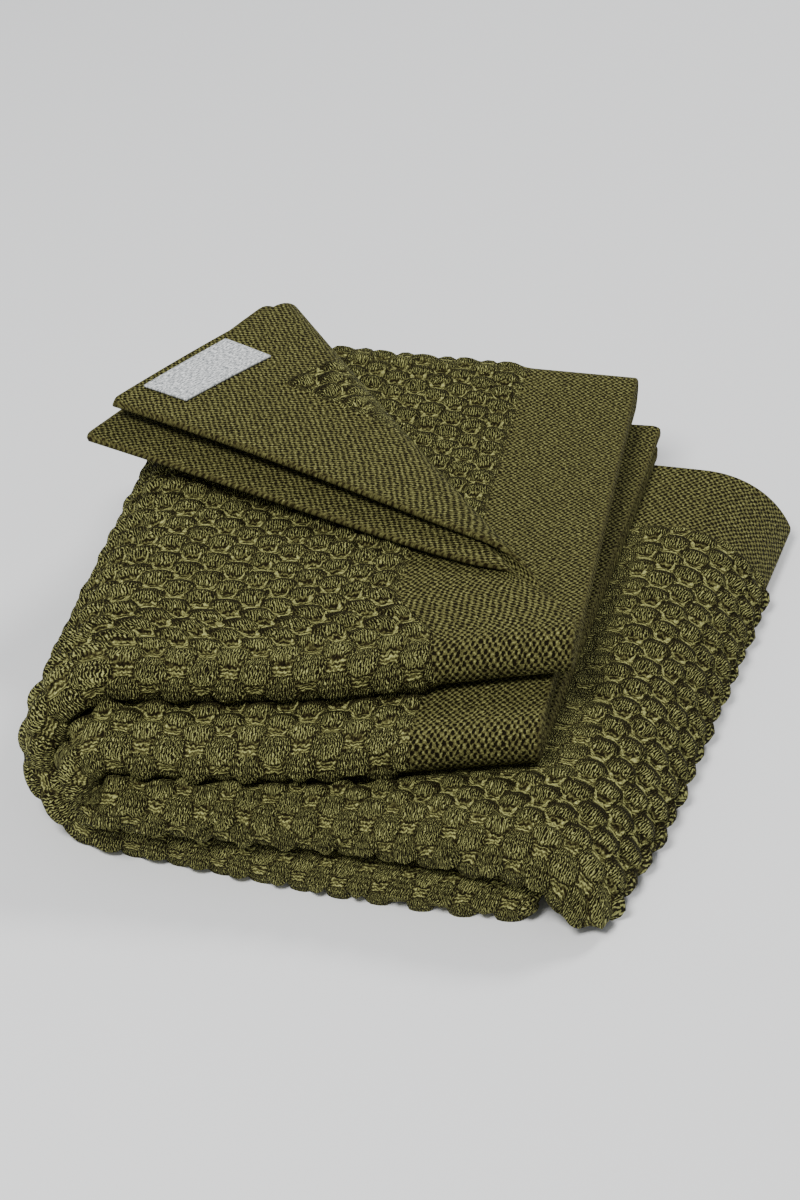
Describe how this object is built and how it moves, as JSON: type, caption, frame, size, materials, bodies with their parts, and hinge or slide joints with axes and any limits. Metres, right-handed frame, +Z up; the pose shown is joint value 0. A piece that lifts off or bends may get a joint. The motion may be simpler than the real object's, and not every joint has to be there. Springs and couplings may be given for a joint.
{
  "type": "folded knitted baby blanket",
  "caption": "Knitted baby blanket folded into a soft pile, one double corner turned back, with a small blank felt label.",
  "frame": {"origin": "centre of the bounding box in plan, on the surface that the folded blanket rests on", "axes": "+Z up; the rounded front folds face -Y; the turned-back corner reaches over the -X side"},
  "size_m": [0.2678, 0.2848, 0.0909],
  "materials": {
    "knit_cotton": "matte olive knitted yarn",
    "label_felt": "matte light grey mottled felt"
  },
  "bodies": {
    "root": {"blanket": "knit_cotton", "label": "label_felt"}
  },
  "joints": []
}
